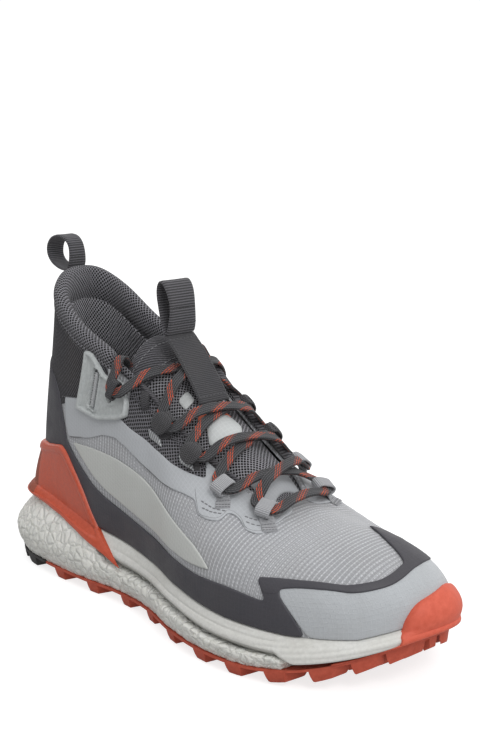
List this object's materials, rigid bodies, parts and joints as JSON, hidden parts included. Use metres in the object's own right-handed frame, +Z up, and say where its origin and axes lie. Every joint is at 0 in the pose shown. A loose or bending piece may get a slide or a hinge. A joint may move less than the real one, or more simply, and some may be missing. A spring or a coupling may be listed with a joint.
{
  "type": "hiking boot",
  "caption": "Mid-height right hiking boot with lugged sole, moulded heel clip, textile upper, padded collar, laced tongue and pull loops.",
  "frame": {"origin": "centre of the bounding box, on the ground under the sole", "axes": "+X from heel to toe, +Y towards the inside of the foot, +Z up"},
  "size_m": [0.3142, 0.1174, 0.1947],
  "materials": {
    "outsole_heel": "matt lugged rubber",
    "outsole_forefoot": "matt lugged rubber",
    "toe_bumper": "matt rubber",
    "midsole_foam": "fused bead foam",
    "midsole_rim": "moulded foam with a fine skin",
    "heel_clip": "satin moulded plastic",
    "strobel_board": "non-woven board",
    "insole": "knit over foam",
    "upper_shell": "ripstop textile",
    "lining": "spacer mesh",
    "heel_counter": "stiffener sheet",
    "toe_puff": "stiffener sheet",
    "collar": "padded mesh",
    "tongue": "padded mesh",
    "tongue_shield": "smooth film",
    "throat_film": "smooth film",
    "tongue_strap": "flat webbing",
    "tongue_pull_loop": "flat webbing",
    "heel_pull_loop": "ribbed webbing",
    "heel_shield": "welded film",
    "toe_cap": "ripstop textile",
    "toe_trim": "welded film",
    "mudguard_outer": "welded film",
    "mudguard_inner": "welded film",
    "side_panel_outer": "printed film",
    "side_panel_inner": "printed film",
    "eyestay_film_outer": "welded film",
    "eyestay_film_inner": "welded film",
    "eyestay_mesh_outer": "open mesh",
    "eyestay_mesh_inner": "open mesh",
    "reflective_tab_outer": "reflective tape",
    "reflective_tab_inner": "reflective tape",
    "lace_plate_outer": "moulded plastic",
    "lace_plate_inner": "moulded plastic",
    "plate_keeper_outer": "cord",
    "plate_keeper_inner": "cord",
    "lace": "flat braid",
    "lace_aglet_outer": "clear tip",
    "lace_aglet_inner": "clear tip",
    "webbing_eyelet_outer_1": "webbing",
    "cord_eyelet_outer_1": "soft cord tunnel",
    "webbing_eyelet_outer_2": "webbing",
    "cord_eyelet_outer_2": "soft cord tunnel",
    "webbing_eyelet_inner_1": "webbing",
    "cord_eyelet_inner_1": "soft cord tunnel",
    "webbing_eyelet_inner_2": "webbing",
    "cord_eyelet_inner_2": "soft cord tunnel"
  },
  "bodies": {
    "boot": {"outsole_heel": "outsole_heel", "outsole_forefoot": "outsole_forefoot", "toe_bumper": "toe_bumper", "midsole_foam": "midsole_foam", "midsole_rim": "midsole_rim", "heel_clip": "heel_clip", "strobel_board": "strobel_board", "upper_shell": "upper_shell", "lining": "lining", "heel_counter": "heel_counter", "toe_puff": "toe_puff", "collar": "collar", "tongue": "tongue", "tongue_shield": "tongue_shield", "throat_film": "throat_film", "tongue_strap": "tongue_strap", "heel_shield": "heel_shield", "toe_cap": "toe_cap", "toe_trim": "toe_trim", "mudguard_outer": "mudguard_outer", "mudguard_inner": "mudguard_inner", "side_panel_outer": "side_panel_outer", "side_panel_inner": "side_panel_inner", "eyestay_film_outer": "eyestay_film_outer", "eyestay_film_inner": "eyestay_film_inner", "eyestay_mesh_outer": "eyestay_mesh_outer", "eyestay_mesh_inner": "eyestay_mesh_inner", "reflective_tab_outer": "reflective_tab_outer", "reflective_tab_inner": "reflective_tab_inner", "lace_plate_outer": "lace_plate_outer", "lace_plate_inner": "lace_plate_inner", "plate_keeper_outer": "plate_keeper_outer", "plate_keeper_inner": "plate_keeper_inner", "lace": "lace", "lace_aglet_outer": "lace_aglet_outer", "lace_aglet_inner": "lace_aglet_inner", "webbing_eyelet_outer_1": "webbing_eyelet_outer_1", "cord_eyelet_outer_1": "cord_eyelet_outer_1", "webbing_eyelet_outer_2": "webbing_eyelet_outer_2", "cord_eyelet_outer_2": "cord_eyelet_outer_2", "webbing_eyelet_inner_1": "webbing_eyelet_inner_1", "cord_eyelet_inner_1": "cord_eyelet_inner_1", "webbing_eyelet_inner_2": "webbing_eyelet_inner_2", "cord_eyelet_inner_2": "cord_eyelet_inner_2"},
    "insole": {"insole": "insole"},
    "heel_loop": {"heel_pull_loop": "heel_pull_loop"},
    "tongue_loop": {"tongue_pull_loop": "tongue_pull_loop"}
  },
  "joints": [
    {"name": "insole_lift", "type": "hinge", "parent": "boot", "child": "insole", "pos_m": [0.13941, 0.00128, 0.03643], "axis": [0, 1, 0], "range_deg": [0, 4]},
    {"name": "heel_loop_fold", "type": "hinge", "parent": "boot", "child": "heel_loop", "pos_m": [-0.12699, 0.00128, 0.1772], "axis": [0, 1, 0], "range_deg": [-25, 15], "stiffness_Nm_per_rad": 0.02},
    {"name": "tongue_loop_fold", "type": "hinge", "parent": "boot", "child": "tongue_loop", "pos_m": [-0.02859, 0.00128, 0.151], "axis": [0, 1, 0], "range_deg": [-15, 20], "stiffness_Nm_per_rad": 0.02}
  ]
}
